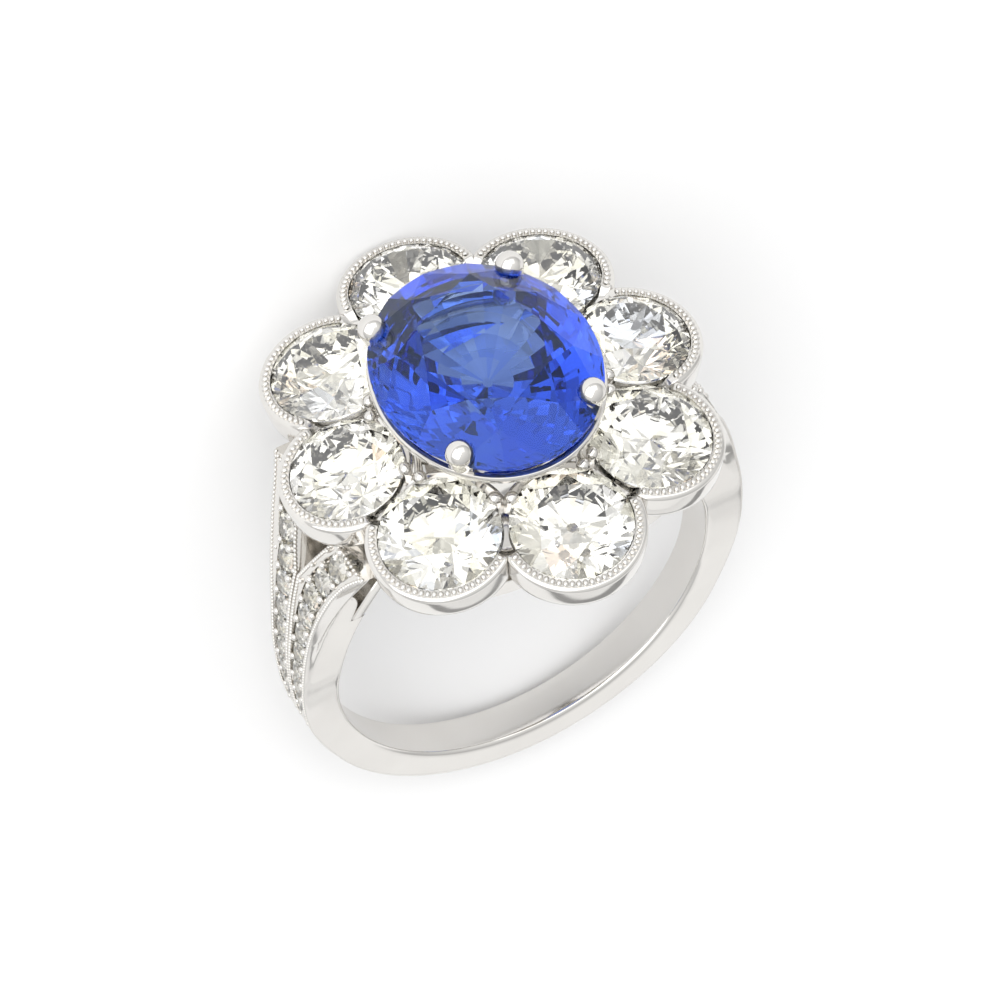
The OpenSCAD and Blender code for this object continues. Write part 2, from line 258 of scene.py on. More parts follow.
def ball(around: int, up: int) -> tuple[np.ndarray, np.ndarray]:
    """Unit ball: rings of points at equal steps of latitude, with a point at each pole.

    Args:
        around: Points in a ring.
        up: Rings.

    Returns:
        Points and faces; a triangle repeats its last corner.
    """
    latitude = (np.arange(up) + 1) * math.pi / (up + 1) - math.pi / 2
    angle = np.arange(around) * 2 * math.pi / around
    ring = np.stack([np.cos(latitude)[:, None] * np.cos(angle), np.cos(latitude)[:, None] * np.sin(angle),
                     np.repeat(np.sin(latitude)[:, None], around, axis=1)], axis=-1)
    points = np.vstack([ring.reshape(-1, 3), [[0, 0, -1], [0, 0, 1]]])
    bottom = fan(0, around, up * around, True)
    top = fan((up - 1) * around, around, up * around + 1, False)
    return points, np.vstack([grid_quads(up, around, False, True), bottom, top])


def arc(centre: tuple[float, float], radius: float, start: float, end: float,
        steps: int) -> list[list[float]]:
    """Points along an arc in a flat outline, angles in degrees."""
    angles = np.radians(np.linspace(start, end, steps))
    return [[centre[0] + radius * math.cos(a), centre[1] + radius * math.sin(a)] for a in angles]


@dataclass
class Workshop:
    """Makes Blender pieces from skins and hands them to the frame."""

    pose: RestPose
    finishes: dict[Slot, bpy.types.Material]

    def piece(self, name: str, skin: Skin, slot: Slot, sharp: float = 35.0) -> None:
        """Make a piece, lay it down and let it ride on the ring.

        Args:
            name: The piece's plain name.
            skin: Its surfaces, upright in millimetres.
            slot: The material slot that gives its finish.
            sharp: Edges that bend more than this many degrees stay sharp.
        """
        points = self.pose.lay(np.vstack(skin.points))
        faces = np.vstack(skin.faces)
        outlines = [f[:3] if f[2] == f[3] else f for f in faces.tolist()]
        mesh = bpy.data.meshes.new(name)
        mesh.from_pydata(points, [], outlines)
        mesh.polygons.foreach_set("use_smooth", np.ones(len(mesh.polygons), bool))
        mesh.set_sharp_from_angle(angle=math.radians(sharp))
        mesh.materials.append(self.finishes[slot])
        mesh.update()
        thing = bpy.data.objects.new(name, mesh)
        bpy.context.scene.collection.objects.link(thing)
        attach(thing, BODY)
        if slot is Slot.PLATINUM:
            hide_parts(MOUNT_NODE)
        LOG.info("%s: %d faces", name, len(faces))


def add_node(tree: bpy.types.NodeTree, kind: str, inputs: dict | None = None,
             **settings: object) -> bpy.types.Node:
    """Add a node with its settings and links.

    Args:
        tree: The node tree.
        kind: The node's Blender type.
        inputs: For each input's name or number, a value or the socket that feeds it.
        settings: Properties of the node.

    Returns:
        The new node.
    """
    node = tree.nodes.new(kind)
    for name, value in settings.items():
        setattr(node, name, value)
    for name, value in (inputs or {}).items():
        if isinstance(value, bpy.types.NodeSocket):
            tree.links.new(value, node.inputs[name])
        else:
            node.inputs[name].default_value = value
    return node


def new_material(name: str) -> bpy.types.Material:
    """Start an empty node material."""
    material = bpy.data.materials.new(name)
    material.use_nodes = True
    material.node_tree.nodes.clear()
    return material


@dataclass(frozen=True)
class PolishedPlatinum:
    """Platinum alloy, cast, soldered and polished on a felt wheel: pale warm grey, nearly a mirror.

    Hand polishing leaves a faint unevenness in the gloss and hairlines too fine to show singly; both are
    drawn as coarse as they need to be to show, a millimetre or so across.
    """

    colour: str = "E6E4E0"
    worn: str = "DBD8D4"
    roughness: tuple[float, float] = (0.06, 0.14)
    cloud_mm: float = 2.5
    cloud_range: tuple[float, float] = (0.3, 0.7)
    hairline_mm: float = 0.35
    hairline_stretch: tuple[float, float, float] = (1.0, 0.25, 1.0)
    hairline_strength: float = 0.03
    hairline_depth_mm: float = 0.02

    def build(self) -> bpy.types.Material:
        """Make the material.

        Returns:
            The finished material.
        """
        material = new_material("polished platinum")
        tree = material.node_tree
        place = add_node(tree, "ShaderNodeTexCoord").outputs["Object"]
        cloud = add_node(tree, "ShaderNodeTexNoise", {"Vector": place, "Scale": 1 / (self.cloud_mm * MM),
                                                      "Detail": 3.0})
        stretched = add_node(tree, "ShaderNodeMapping", {"Vector": place, "Scale": self.hairline_stretch})
        hair = add_node(tree, "ShaderNodeTexNoise", {"Vector": stretched.outputs["Vector"],
                                                     "Scale": 1 / (self.hairline_mm * MM), "Detail": 4.0})
        gloss = add_node(tree, "ShaderNodeMapRange", {
            "Value": cloud.outputs["Fac"], "From Min": self.cloud_range[0], "From Max": self.cloud_range[1],
            "To Min": self.roughness[0], "To Max": self.roughness[1]})
        tone = add_node(tree, "ShaderNodeMix", {"Factor": cloud.outputs["Fac"], "A": linear(self.colour),
                                                "B": linear(self.worn)}, data_type="RGBA")
        bump = add_node(tree, "ShaderNodeBump", {
            "Height": hair.outputs["Fac"], "Strength": self.hairline_strength,
            "Distance": self.hairline_depth_mm * MM})
        shader = add_node(tree, "ShaderNodeBsdfPrincipled", {
            "Base Color": tone.outputs["Result"], "Metallic": 1.0, "Roughness": gloss.outputs["Result"],
            "Normal": bump.outputs["Normal"]})
        add_node(tree, "ShaderNodeOutputMaterial", {"Surface": shader.outputs["BSDF"]})
        return material


def painted_facet_light(tree: bpy.types.NodeTree, painted_facet_tones: tuple[tuple[float, str], ...]) -> bpy.types.NodeSocket:
    """Paint each facet a little lighter, darker or coloured, picked at random by the way that it faces:
    painted light.

    Args:
        tree: The node tree.
        painted_facet_tones: Share of the facets at which each tone starts, and the tone as a hex code.

    Returns:
        The colour socket.
    """
    facing = add_node(tree, "ShaderNodeNewGeometry").outputs["True Normal"]
    moved = add_node(tree, "ShaderNodeVectorMath", {0: facing, 1: FACET_SHIFT}, operation="ADD")
    snapped = add_node(tree, "ShaderNodeVectorMath", {0: moved.outputs["Vector"], 1: (FACET_STEP,) * 3},
                       operation="SNAP")
    pick = add_node(tree, "ShaderNodeTexWhiteNoise", {"Vector": snapped.outputs["Vector"]},
                    noise_dimensions="3D")
    ramp = add_node(tree, "ShaderNodeValToRGB", {"Fac": pick.outputs["Value"]})
    ramp.color_ramp.interpolation = "CONSTANT"
    for place, _ in painted_facet_tones[2:]:
        ramp.color_ramp.elements.new(place)
    for element, (place, code) in zip(ramp.color_ramp.elements, painted_facet_tones):
        element.position = place
        element.color = linear(code)
    return ramp.outputs["Color"]


@dataclass(frozen=True)
class CutDiamond:
    """Diamond, sawn and cut to flat polished facets: clear, faintly warm, and it bends light very strongly.

    Each facet is painted a little lighter or darker by the way it faces, as painted light for the light it
    returns;
    a few are painted orange or blue, as painted flashes of fire. The faint warmth is the stone's own.
    """

    # Painted light: each facet's share and tone, lighter and darker greys and a few painted fire colours.
    painted_facet_tones: tuple[tuple[float, str], ...] = (
        (0.0, "E8E7E3"), (0.3, "E3E1D5"), (0.5, "DAD7C8"), (0.72, "ECEBE7"), (0.84, "D2CEB8"),
        (0.94, "CCD4E6"), (0.98, "FFDDBE"))
    ior: float = 2.42

    def build(self) -> bpy.types.Material:
        """Make the material.

        Returns:
            The finished material.
        """
        material = new_material("cut diamond")
        tree = material.node_tree
        shader = add_node(tree, "ShaderNodeBsdfPrincipled", {
            "Base Color": painted_facet_light(tree, self.painted_facet_tones), "Roughness": 0.0, "IOR": self.ior,
            "Transmission Weight": 1.0})
        add_node(tree, "ShaderNodeOutputMaterial", {"Surface": shader.outputs["BSDF"]})
        return material


@dataclass(frozen=True)
class CutSapphire:
    """Blue corundum, cut and polished: clear, and the deeper the light runs in it the bluer it comes out.

    Each facet is painted a little lighter or darker by the way it faces: painted light for the light that
    each returns from another depth of the stone.
    """

    # Painted light: lighter and darker tints laid on the facets; the blue body below is the stone's own
    # colour.
    painted_facet_tones: tuple[tuple[float, str], ...] = (
        (0.0, "F2F7FF"), (0.25, "BFD2FF"), (0.5, "DEE8FF"), (0.7, "9CB6FA"), (0.85, "EAF0FF"))
    body: str = "409EEA"
    sheen: str = "AEC8FF"
    density_per_mm: float = 0.31
    ior: float = 1.77

    def build(self) -> bpy.types.Material:
        """Make the material.

        Returns:
            The finished material.
        """
        material = new_material("cut sapphire")
        tree = material.node_tree
        shader = add_node(tree, "ShaderNodeBsdfPrincipled", {
            "Base Color": painted_facet_light(tree, self.painted_facet_tones), "Roughness": 0.0, "IOR": self.ior,
            "Transmission Weight": 1.0, "Specular Tint": linear(self.sheen)})
        depth = add_node(tree, "ShaderNodeVolumeAbsorption", {
            "Color": linear(self.body), "Density": self.density_per_mm / MM})
        add_node(tree, "ShaderNodeOutputMaterial", {"Surface": shader.outputs["BSDF"],
                                                    "Volume": depth.outputs["Volume"]})
        return material


@dataclass(frozen=True)
class MattCard:
    """Matt paper card, as laid under the ring and spread on the table around it."""

    name: str
    colour: str
    roughness: float = 0.9

    def build(self) -> bpy.types.Material:
        """Make the material.

        Returns:
            The finished material.
        """
        material = new_material(self.name)
        tree = material.node_tree
        shader = add_node(tree, "ShaderNodeBsdfPrincipled", {
            "Base Color": linear(self.colour), "Roughness": self.roughness})
        add_node(tree, "ShaderNodeOutputMaterial", {"Surface": shader.outputs["BSDF"]})
        return material


@dataclass
class Band:
    """Shank and split shoulders, one skin carried from one shoulder's top round to the other's."""

    finger_radius: float = 8.5
    shank_thickness: float = 1.43
    half_width: float = 0.925
    top: float = 10.45
    turning_height: float = -4.6
    split_height: float = 7.3
    arm_spread: float = 0.46
    arm_widening: float = 0.5
    least_wall: float = 0.8
    # The slit starts a little inside the rail, runs close to it at first and then bends away.
    slit_height: float = 4.8
    slit_sink: float = 0.08
    slit_slope: float = 0.25
    slit_straight: float = 0.6
    slit_bend: float = 0.9
    rail_thickness: float = 0.55
    rail_sink: float = 0.5
    rail_end: float = 2.45
    rail_narrowing: float = 0.8
    # The rail's faces that run on from the arm's stand a hair inside them, below and at the sides.
    rail_insets: tuple[float, float] = (0.012, 0.004)
    stones: int = 10
    first_stone: float = -0.95
    stone_small: float = 0.84
    stone_large: float = 1.26
    stone_space: float = 0.12
    seat_gap: float = 0.05
    channel_wall: float = 0.24
    channel_depth: float = 0.66
    channel_least: float = 0.12
    ledge_least: float = 0.045
    bead_band: float = 0.2
    bead_share: float = 0.6
    bead_step: float = 0.185
    bead_sizes: tuple[float, float] = (0.068, 0.1)
    # Share of their size that the beads keep where the shank starts.
    bead_run_out: float = 0.35
    # How far the inner rows stand from an arm's inner edge, in bead sizes: on parted arms, and below.
    bead_insets: tuple[float, float] = (0.95, 1.35)
    end_bead: float = 0.095
    end_clear: float = 0.12
    end_drop: float = 0.09
    grain_place: float = 0.76
    grain_size: float = 0.29
    # Small grains beside a stone stand where the strip there is wide enough, a part of it left clear.
    strip_least: float = 0.36
    strip_clear: float = 0.14
    strip_grain_place: float = 0.6
    strip_grain_size: float = 0.34
    groove_depth: float = 0.34
    # Rounding of the outer edge: where it is beaded, what the plain shoulder adds, what the shank adds.
    edge_rounds: tuple[float, float, float] = (0.05, 0.09, 0.16)
    inner_round: float = 0.17
    # Heights between which each part of the shoulders' work comes in, going up.
    channel_rise: tuple[float, float] = (-1.62, -1.48)
    edge_rise: tuple[float, float] = (-3.6, -1.6)
    groove_rise: tuple[float, float] = (-1.3, 1.5)
    widening_rise: tuple[float, float] = (-3.8, 1.6)
    bead_rise: tuple[float, float] = (-1.75, -0.2)
    # Shoulder outline: height, half width across the shoulders, half width along the finger.
    outline: tuple = ((-4.6, 8.82, 0.93), (-3.4, 9.4, 0.94), (-2.2, 9.8, 0.98), (-0.9, 10.04, 1.05),
                      (0.65, 10.14, 1.2), (2, 10.1, 1.38), (4.1, 9.85, 1.6), (6, 9.52, 1.95),
                      (7.4, 9.17, 2.33), (8.75, 8.74, 2.8), (9.65, 8.34, 3.25), (10.3, 7.98, 3.75),
                      (10.45, 7.88, 3.9))
    # Inner wall of the arms above the slit: height, half width across the shoulders.
    inside: tuple = ((4.8, 7.69), (6.2, 7.6), (7.3, 7.45), (8.3, 7.3), (9.3, 7.12), (10.6, 6.9))
    # Slope of the sides: distance from the finger axis, half width along the finger.
    slope: tuple = ((8.5, 0.925), (10.2, 1.5), (13.5, 5.2))

    def outer_x(self, z: np.ndarray) -> np.ndarray:
        """Half width across the shoulders at a height."""
        table = np.array(self.outline)
        return curve_through(table[:, 0], table[:, 1], z)

    def outer_y(self, z: np.ndarray) -> np.ndarray:
        """Half width along the finger at a height."""
        table = np.array(self.outline)
        return curve_through(table[:, 0], table[:, 2], z)

    def parting(self, z: np.ndarray) -> np.ndarray:
        """Distance of an arm's inner edge from the middle, nothing below the split."""
        return self.arm_spread * np.maximum(0, z - self.split_height)

    def stone_places(self) -> tuple[np.ndarray, np.ndarray]:
        """Heights and radii of an arm's stones, larger toward the head.

        Returns:
            The heights and the radii.
        """
        table = np.array(self.outline)

        def at(z: float) -> np.ndarray:
            """Place of the arm's middle line, read straight from the table as the solids are."""
            half = np.interp(z, table[:, 0], table[:, 2])
            return np.array([np.interp(z, table[:, 0], table[:, 1]), (half + self.parting(z)) / 2])

        sizes = self.stone_small + (self.stone_large - self.stone_small) * np.minimum(
            1, np.arange(self.stones) / (self.stones - 3))
        heights = [self.first_stone]
        for before, size in zip(sizes, sizes[1:]):
            z = heights[-1]
            run = np.append(at(z + 0.5) - at(z), 0.5)
            heights.append(z + ((size + before) / 2 + self.stone_space) * 0.5 / np.linalg.norm(run))
        return np.array(heights), sizes / 2

    def side_half_width(self, radius: np.ndarray) -> np.ndarray:
        """Half width of the sides at a distance from the finger axis."""
        table = np.array(self.slope)
        return np.interp(radius, table[:, 0], table[:, 1])

    def path(self) -> dict[str, np.ndarray]:
        """Work out the sections of the right half, from the arm's top to the bottom of the shank.

        Returns:
            Outer and inner points in the plane of the hoop, each section's height, and how far it is on
            its way from the shoulder to the bottom of the shank.
        """
        above = np.linspace(self.top, self.slit_height + 0.02, 46)
        below = np.linspace(self.slit_height - 0.02, self.turning_height, 66)
        heights = np.concatenate([above, below])
        table = np.array(self.inside)
        wall = curve_through(table[:, 0], table[:, 1], heights)
        wall = np.minimum(wall, self.outer_x(heights) - self.least_wall)
        rail_radius = self.finger_radius + self.rail_thickness
        rail = np.sqrt(np.maximum(rail_radius**2 - heights**2, 0)) - self.slit_sink
        past = np.maximum(heights - self.slit_height, 0)
        bend = np.maximum(past - self.slit_straight, 0) ** 2
        wall = np.minimum(wall, rail + self.slit_slope * past + self.slit_bend * bend)
        hoop = np.sqrt(self.finger_radius**2 - np.minimum(heights, self.slit_height) ** 2)
        inner = np.stack([np.where(heights > self.slit_height, wall, hoop), heights], axis=1)
        outer = np.stack([self.outer_x(heights), heights], axis=1)
        share = np.linspace(0, 1, 49)[1:]
        start_in = math.asin(self.turning_height / self.finger_radius)
        start_out = math.atan2(self.turning_height, outer[-1, 0])
        turn_in = start_in + (-math.pi / 2 - start_in) * share
        turn_out = start_out + (-math.pi / 2 - start_out) * share
        far = self.finger_radius + self.shank_thickness
        reach = np.linalg.norm(outer[-1]) + (far - np.linalg.norm(outer[-1])) * smoothstep(0, 1, share)
        low_inner = self.finger_radius * np.stack([np.cos(turn_in), np.sin(turn_in)], axis=1)
        low_outer = reach[:, None] * np.stack([np.cos(turn_out), np.sin(turn_out)], axis=1)
        return {"outer": np.vstack([outer, low_outer]), "inner": np.vstack([inner, low_inner]),
                "height": np.concatenate([heights, np.full(len(share), self.turning_height)]),
                "plain": np.concatenate([np.zeros(len(heights)), share])}

    def stone_radius(self, z: np.ndarray) -> np.ndarray:
        """Radius of the stones at a height along an arm."""
        heights, radii = self.stone_places()
        return np.interp(z, heights, radii)

    def half_outline(self, outer: np.ndarray, inner: np.ndarray, z: np.ndarray,
                     plain: np.ndarray) -> tuple[np.ndarray, int]:
        """Outline of one half section at every place: from the groove over the bead edges and the stones'
        channel, round the outer edge, down the side and back under, then up the parting wall.

        Args:
            outer: Outer points of the sections.
            inner: Inner points of the sections.
            z: Heights of the sections.
            plain: How far each section is along the plain shank.

        Returns:
            Depth below the outer point and distance along the finger for each outline point, and how many
            of the points lie before the parting wall.
        """
        length = np.linalg.norm(inner - outer, axis=1)
        middle = self.parting(z)
        edge = np.where(z > self.turning_height, self.outer_y(z), self.half_width)
        set_part = smoothstep(*self.channel_rise, z)
        worked = smoothstep(*self.edge_rise, z)
        beaded, shoulder, shank = self.edge_rounds
        round_off = beaded + shoulder * (1 - worked) + shank * smoothstep(0.05, 0.75, plain)
        inside_half = self.half_width + self.arm_widening * smoothstep(*self.widening_rise, z)
        groove = self.groove_depth * smoothstep(*self.groove_rise, z)
        channel = (edge + middle) / 2
        half = np.minimum(self.stone_radius(z) + self.seat_gap, (edge - middle) / 2 - self.ledge_least)
        half = self.channel_least + (half - self.channel_least) * worked
        ledge = (edge - middle) / 2 - half
        bead = np.minimum(self.bead_band, self.bead_share * ledge)
        drop = (0.04 + 0.3 * np.maximum(ledge - bead, 0)) * set_part
        wall = self.channel_wall * set_part
        floor = self.channel_depth * set_part
        zero = np.zeros_like(z)
        outside = edge - round_off * (1 - worked) - np.maximum(bead * worked, 0.02)
        points = [
            (groove, middle), (0.35 * groove, middle + 0.12 * ledge), (zero, middle + 0.3 * ledge),
            (zero, middle + bead), (drop, channel - half), (wall, channel - half + 0.02),
            (floor, channel), (wall, channel + half - 0.02), (drop, channel + half), (zero, outside)]
        for angle in np.radians([0, 22.5, 45, 67.5, 90]):
            points.append((round_off * (1 - math.cos(angle)), edge - round_off * (1 - math.sin(angle))))
        for share in np.linspace(0.1, 1, 12):
            depth = round_off + (length - round_off - self.inner_round) * share
            place = outer + (inner - outer) * (depth / length)[:, None]
            slope = np.maximum(self.side_half_width(np.linalg.norm(place, axis=1)), inside_half)
            blend = np.clip(0.5 + (slope - edge) / 0.3, 0, 1)
            points.append((depth, slope + (edge - slope) * blend - 0.15 * blend * (1 - blend)))
        side = points[-1][1]
        for angle in np.radians([18, 36, 54, 72, 90]):
            points.append((length - self.inner_round * (1 - math.sin(angle)),
                           side - self.inner_round * (1 - math.cos(angle))))
        points += [(length, (side + middle) / 2), (length, middle)]
        before_wall = len(points)
        for share in (0.75, 0.5, 0.25):
            points.append((groove + (length - groove) * share, middle))
        return np.stack([np.stack(p, axis=1) for p in points], axis=1), before_wall

    def skin(self) -> Skin:
        """Carry both half outlines along the path and weld them where the arms aren't parted.

        Returns:
            One closed skin.
        """
        path = self.path()
        outline, before_wall = self.half_outline(path["outer"], path["inner"], path["height"], path["plain"])
        along = path["inner"] - path["outer"]
        along /= np.linalg.norm(along, axis=1, keepdims=True)
        flat = path["outer"][:, None, :] + along[:, None, :] * outline[..., :1]
        half = np.stack([flat[..., 0], outline[..., 1], flat[..., 1]], axis=-1)
        whole = np.concatenate([half, half[-2::-1] * np.array([-1, 1, 1])])
        rows, columns, _ = whole.shape
        apart = np.concatenate([self.parting(path["height"]), self.parting(path["height"])[-2::-1]]) > 0
        quads = grid_quads(rows, columns, False, True).reshape(rows - 1, columns, 4)
        wall = np.arange(columns) >= before_wall - 1
        keep = ~wall[None, :] | (apart[:-1] | apart[1:])[:, None]
        sides = []
        caps = [fan(0, columns, rows * columns, True),
                fan((rows - 1) * columns, columns, rows * columns + 1, False)]
        faces = np.vstack([quads[keep], *caps])
        for sign in (1, -1):
            points = whole * np.array([1, sign, 1])
            tips = np.stack([points[0].mean(0), points[-1].mean(0)])
            sides.append(np.vstack([points.reshape(-1, 3), tips]))
        mirrored = faces[:, [0, 3, 2, 1]] + len(sides[0])
        # Points of the two halves that fall together are welded, and the ones left without a face go.
        places, number = np.unique(np.vstack(sides).round(5), axis=0, return_inverse=True)
        faces = number.reshape(-1)[np.vstack([faces, mirrored])]
        used = np.unique(faces)
        renumber = np.zeros(len(places), int)
        renumber[used] = np.arange(len(used))
        skin = Skin()
        skin.add(places[used], renumber[faces])
        return skin

    def rail_skin(self) -> Skin:
        """Inner rail that closes the circle: two arcs of a flat band, from each slit to the collet.

        Returns:
            Two closed skins.
        """
        skin = Skin()
        low = math.asin((self.slit_height - self.rail_sink) / self.finger_radius)
        angles = np.linspace(low, math.acos(self.rail_end / self.finger_radius), 40)
        narrowing = self.rail_narrowing * smoothstep(low + 0.1, angles[-1], angles)
        low_inset, side_inset = self.rail_insets
        r0, r1 = self.finger_radius + low_inset, self.finger_radius + self.rail_thickness
        half = self.half_width + self.arm_widening * (1 - narrowing) - side_inset
        # Distance from the finger axis, share of the half width, and how far in from it.
        flat = np.array([
            [r0, -1, 0.15], [r0, 0, 0], [r0, 1, -0.15], [r0 + 0.05, 1, -0.05], [r0 + 0.15, 1, 0],
            [r1 - 0.05, 1, 0], [r1, 1, -0.05], [r1, 0, 0], [r1, -1, 0.05], [r1 - 0.05, -1, 0],
            [r0 + 0.15, -1, 0], [r0 + 0.05, -1, 0.05]])
        for side in (1, -1):
            across = side * np.cos(angles)[:, None] * flat[:, 0]
            along = half[:, None] * flat[:, 1] + flat[:, 2]
            rise = np.sin(angles)[:, None] * flat[:, 0]
            skin.sweep(np.stack([across, along, rise], axis=-1), ring_rows=False)
        return skin

    def bead_rows(self) -> Skin:
        """Fine beads along both edges and across the end of each arm, evenly spaced along the edge.

        Returns:
            All the beads.
        """
        skin = Skin()
        shape, quads = ball(8, 5)
        fine = np.linspace(self.bead_rise[0], self.top - 0.04, 600)
        half = (self.outer_y(fine) - self.parting(fine)) / 2
        ledge = np.maximum(half - self.stone_radius(fine) - self.seat_gap, 0.05)
        size = np.clip(self.bead_share * ledge, *self.bead_sizes)
        size = size * (self.bead_run_out + (1 - self.bead_run_out) * smoothstep(*self.bead_rise, fine))
        top = np.array(self.top)
        end = np.linspace(self.parting(top) + self.end_clear, self.outer_y(top) - self.end_clear, 60)
        last = np.full(60, self.top - self.end_drop)
        inset = size * np.where(fine < self.split_height, self.bead_insets[1], self.bead_insets[0])
        rows = [(self.outer_x(fine), self.outer_y(fine) - size * 0.8, fine, size),
                (self.outer_x(fine), self.parting(fine) + inset, fine, size),
                (self.outer_x(last), end, last, np.full(60, self.end_bead))]
        for x, y, z, radius in rows:
            line = np.stack([x, y, z], axis=1)
            run = np.concatenate([[0], np.cumsum(np.linalg.norm(np.diff(line, axis=0), axis=1))])
            at = np.linspace(0, run[-1], int(run[-1] / self.bead_step))
            places = np.stack([np.interp(at, run, line[:, i]) for i in range(3)], axis=1)
            frames = np.eye(3) * np.interp(at, run, radius)[:, None, None]
            for way in ((1, 1, 1), (-1, 1, 1), (1, -1, 1), (-1, -1, 1)):
                skin.repeat(shape, quads, frames, places * np.array(way))
        return skin

    def grains(self) -> Skin:
        """Grains of metal that hold the shoulder stones, on short posts.

        Two stand between each two stones, and two small ones beside each stone where the arm is wide.

        Returns:
            All the grains.
        """
        heights, radii = self.stone_places()
        between = (heights[1:] + heights[:-1]) / 2
        between = np.concatenate([[heights[0] - radii[0] * 0.95], between, [heights[-1] + radii[-1] * 0.9]])
        size = np.interp(between, heights, radii)
        skin = Skin()
        self.grain_pairs(skin, between, self.grain_place * size, self.grain_size * size)
        half = (self.outer_y(heights) - self.parting(heights)) / 2
        wide = half - radii > self.strip_least
        room = half - radii - self.strip_clear
        self.grain_pairs(skin, heights[wide], (radii + self.strip_grain_place * room)[wide],
                         self.strip_grain_size * room[wide])
        return skin

    def grain_pairs(self, skin: Skin, between: np.ndarray, offset: np.ndarray, radius: np.ndarray) -> None:
        """Add pairs of grains at heights along all four arms.

        Args:
            skin: The skin to add to.
            between: Heights of the pairs.
            offset: Distance of each grain from the arm's middle line.
            radius: Radius of each grain.
        """
        tilt = np.arctan2(self.outer_x(between - 0.2) - self.outer_x(between + 0.2), 0.4)
        middle = (self.outer_y(between) + self.parting(between)) / 2
        swing = np.arctan2(self.outer_y(between + 0.2) + self.parting(between + 0.2)
                           - self.outer_y(between - 0.2) - self.parting(between - 0.2), 0.8)
        shape, quads = ball(10, 7)
        # The lower half is drawn out to a post.
        shape[:, 2] = np.where(shape[:, 2] < 0, shape[:, 2] * 3.0, shape[:, 2])
        for sx in (1, -1):
            for sy in (1, -1):
                out = np.stack([sx * np.cos(tilt), np.zeros_like(tilt), np.sin(tilt)], axis=1)
                across = np.tile([0, 1.0, 0], (len(tilt), 1))
                frames = np.stack([across, np.cross(out, across), out], axis=2) * radius[:, None, None]
                for way in (1, -1):
                    aside = way * offset
                    places = np.stack([sx * self.outer_x(between), sy * (middle + aside * np.cos(swing)),
                                       between - aside * np.sin(swing)], axis=1)
                    skin.repeat(shape, quads, frames, places - out * 0.05)


